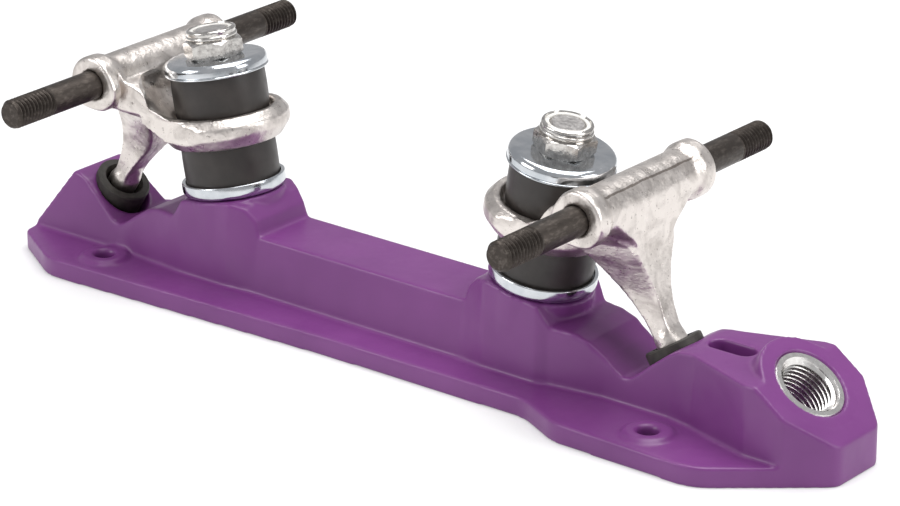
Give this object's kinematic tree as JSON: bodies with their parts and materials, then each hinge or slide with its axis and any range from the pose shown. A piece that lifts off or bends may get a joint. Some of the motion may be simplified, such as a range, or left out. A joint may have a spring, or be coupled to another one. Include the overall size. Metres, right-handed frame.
{
  "type": "roller skate plate",
  "caption": "Moulded quad skate plate with a cast truck at each end on rubber cushions, bare wheel axles and a threaded toe stop socket.",
  "frame": {"origin": "on the sole face of the plate, on its centre line, midway between the two axles", "axes": "+X from heel to toe, +Y to the wearer's right when the skate is worn, +Z out of the sole face towards the trucks"},
  "size_m": [0.2675, 0.112, 0.0738],
  "materials": {
    "plate_nylon": "satin moulded",
    "insert_steel": "machined",
    "kingpin_steel": "zinc plated",
    "retainer_plating": "bright zinc",
    "cushion_urethane": "satin moulded",
    "cup_rubber": "matt",
    "hanger_alloy": "tumbled casting",
    "axle_steel": "dark oxide",
    "nut_plating": "bright zinc",
    "lock_ring_nylon": "plain"
  },
  "bodies": {
    "chassis": {"plate": "plate_nylon", "toe_stop_insert": "insert_steel", "front_kingpin": "kingpin_steel", "front_lower_retainer": "retainer_plating", "front_lower_cushion": "cushion_urethane", "front_upper_cushion": "cushion_urethane", "front_pivot_cup": "cup_rubber", "rear_kingpin": "kingpin_steel", "rear_lower_retainer": "retainer_plating", "rear_lower_cushion": "cushion_urethane", "rear_upper_cushion": "cushion_urethane", "rear_pivot_cup": "cup_rubber"},
    "front_truck": {"front_hanger": "hanger_alloy", "front_axle": "axle_steel"},
    "front_preload": {"front_upper_retainer": "retainer_plating"},
    "front_locknut": {"front_kingpin_nut": "nut_plating", "front_nut_lock_ring": "lock_ring_nylon"},
    "rear_truck": {"rear_hanger": "hanger_alloy", "rear_axle": "axle_steel"},
    "rear_preload": {"rear_upper_retainer": "retainer_plating"},
    "rear_locknut": {"rear_kingpin_nut": "nut_plating", "rear_nut_lock_ring": "lock_ring_nylon"}
  },
  "joints": [
    {"name": "front_steer", "type": "hinge", "parent": "chassis", "child": "front_truck", "pos_m": [0.09691, 0, 0.0165], "axis": [-0.8099, 0, 0.5865], "range_deg": [-10, 10], "stiffness_Nm_per_rad": 20, "deforming": ["front_lower_cushion", "front_upper_cushion"]},
    {"name": "front_preload_slide", "type": "slide", "parent": "chassis", "child": "front_preload", "axis": [0.1736, 0, 0.9848], "range_m": [-0.00105, 0.00052], "deforming": ["front_upper_cushion"]},
    {"name": "front_nut_turn", "type": "hinge", "parent": "front_preload", "child": "front_locknut", "pos_m": [0.0526, 0, 0.0277], "axis": [0.1736, 0, 0.9848], "range_deg": [-360, 180]},
    {"name": "rear_steer", "type": "hinge", "parent": "chassis", "child": "rear_truck", "pos_m": [-0.09691, 0, 0.0165], "axis": [0.8099, 0, 0.5865], "range_deg": [-10, 10], "stiffness_Nm_per_rad": 20, "deforming": ["rear_lower_cushion", "rear_upper_cushion"]},
    {"name": "rear_preload_slide", "type": "slide", "parent": "chassis", "child": "rear_preload", "axis": [-0.1736, 0, 0.9848], "range_m": [-0.00105, 0.00052], "deforming": ["rear_upper_cushion"]},
    {"name": "rear_nut_turn", "type": "hinge", "parent": "rear_preload", "child": "rear_locknut", "pos_m": [-0.0526, 0, 0.0277], "axis": [-0.1736, 0, 0.9848], "range_deg": [-360, 180]}
  ],
  "couplings": [
    {"joint": "front_nut_turn", "follows": "front_preload_slide", "rad_per_m": 5936.9},
    {"joint": "rear_nut_turn", "follows": "rear_preload_slide", "rad_per_m": 5936.9}
  ]
}
